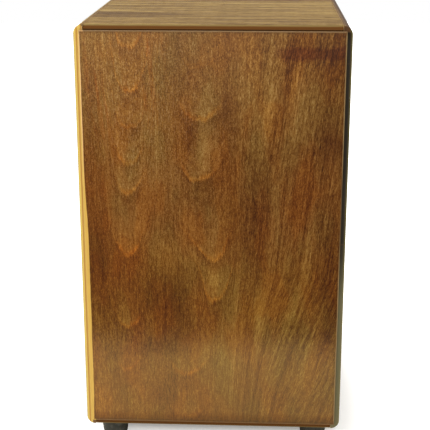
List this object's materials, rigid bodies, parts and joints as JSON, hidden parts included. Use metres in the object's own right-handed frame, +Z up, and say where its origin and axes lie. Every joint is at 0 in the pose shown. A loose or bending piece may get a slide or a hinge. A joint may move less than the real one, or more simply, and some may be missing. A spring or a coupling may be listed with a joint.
{
  "type": "cajon",
  "caption": "Box drum with a thin wooden playing face, a seat top, a sound hole in the back, rubber feet and an adjustable snare bar inside.",
  "frame": {"origin": "on the floor under the middle of the box", "axes": "+Z up, -Y out of the playing face (tapa), +X to the right of somebody facing the playing face"},
  "size_m": [0.3, 0.3, 0.5],
  "materials": {
    "walnut_veneer": "satin varnished walnut-stained veneer, vertical grain, pale eased edge",
    "oak_veneer": "satin oak veneer, grain left to right",
    "side_ply": "oak-faced plywood, natural varnished edges",
    "base_ply": "brown-stained plywood",
    "back_ply": "satin birch plywood",
    "beech": "bare beech",
    "rubber": "matt black rubber",
    "zinc_steel": "zinc plated steel",
    "black_steel": "black oxide steel",
    "spring_steel": "bright coiled steel wire",
    "nylon": "matt black nylon"
  },
  "bodies": {
    "case": {"base_panel": "base_ply", "clamp_nut": "zinc_steel", "clamp_washer": "zinc_steel", "corner_batten_lower_left": "beech", "corner_batten_lower_right": "beech", "corner_batten_upper_left": "beech", "corner_batten_upper_right": "beech", "foot_front_left": "rubber", "foot_front_right": "rubber", "foot_rear_left": "rubber", "foot_rear_right": "rubber", "foot_screw_front_left": "zinc_steel", "foot_screw_front_right": "zinc_steel", "foot_screw_rear_left": "zinc_steel", "foot_screw_rear_right": "zinc_steel", "foot_washer_front_left": "zinc_steel", "foot_washer_front_right": "zinc_steel", "foot_washer_rear_left": "zinc_steel", "foot_washer_rear_right": "zinc_steel", "left_side_panel": "side_ply", "pivot_block_left": "beech", "pivot_block_right": "beech", "rear_cleat_bottom": "beech", "rear_cleat_left": "beech", "rear_cleat_right": "beech", "rear_cleat_top": "beech", "rear_panel": "back_ply", "rear_screw_bottom": "black_steel", "rear_screw_lower_left": "black_steel", "rear_screw_lower_right": "black_steel", "rear_screw_middle_left": "black_steel", "rear_screw_middle_right": "black_steel", "rear_screw_top": "black_steel", "rear_screw_upper_left": "black_steel", "rear_screw_upper_right": "black_steel", "right_side_panel": "side_ply", "seat_panel": "oak_veneer", "tapa": "walnut_veneer"},
    "snare_bar": {"lever_grip": "nylon", "snare_bar": "beech", "snare_lever": "zinc_steel", "snare_pin_left": "zinc_steel", "snare_pin_right": "zinc_steel", "snare_strand_left": "spring_steel", "snare_strand_right": "spring_steel", "strand_clamp_left": "zinc_steel", "strand_clamp_right": "zinc_steel", "strand_screw_left_inner": "black_steel", "strand_screw_left_outer": "black_steel", "strand_screw_right_inner": "black_steel", "strand_screw_right_outer": "black_steel"},
    "thumbscrew": {"clamp_thumbscrew": "nylon"}
  },
  "joints": [
    {"name": "snare_bar_swing", "type": "hinge", "parent": "case", "child": "snare_bar", "pos_m": [0, -0.125, 0.365], "axis": [-1, 0, 0], "range_deg": [0, 10]},
    {"name": "thumbscrew_turn", "type": "hinge", "parent": "case", "child": "thumbscrew", "pos_m": [0.13085, -0.097, 0.345], "axis": [0, 0, -1], "range_deg": [0, 180]}
  ]
}
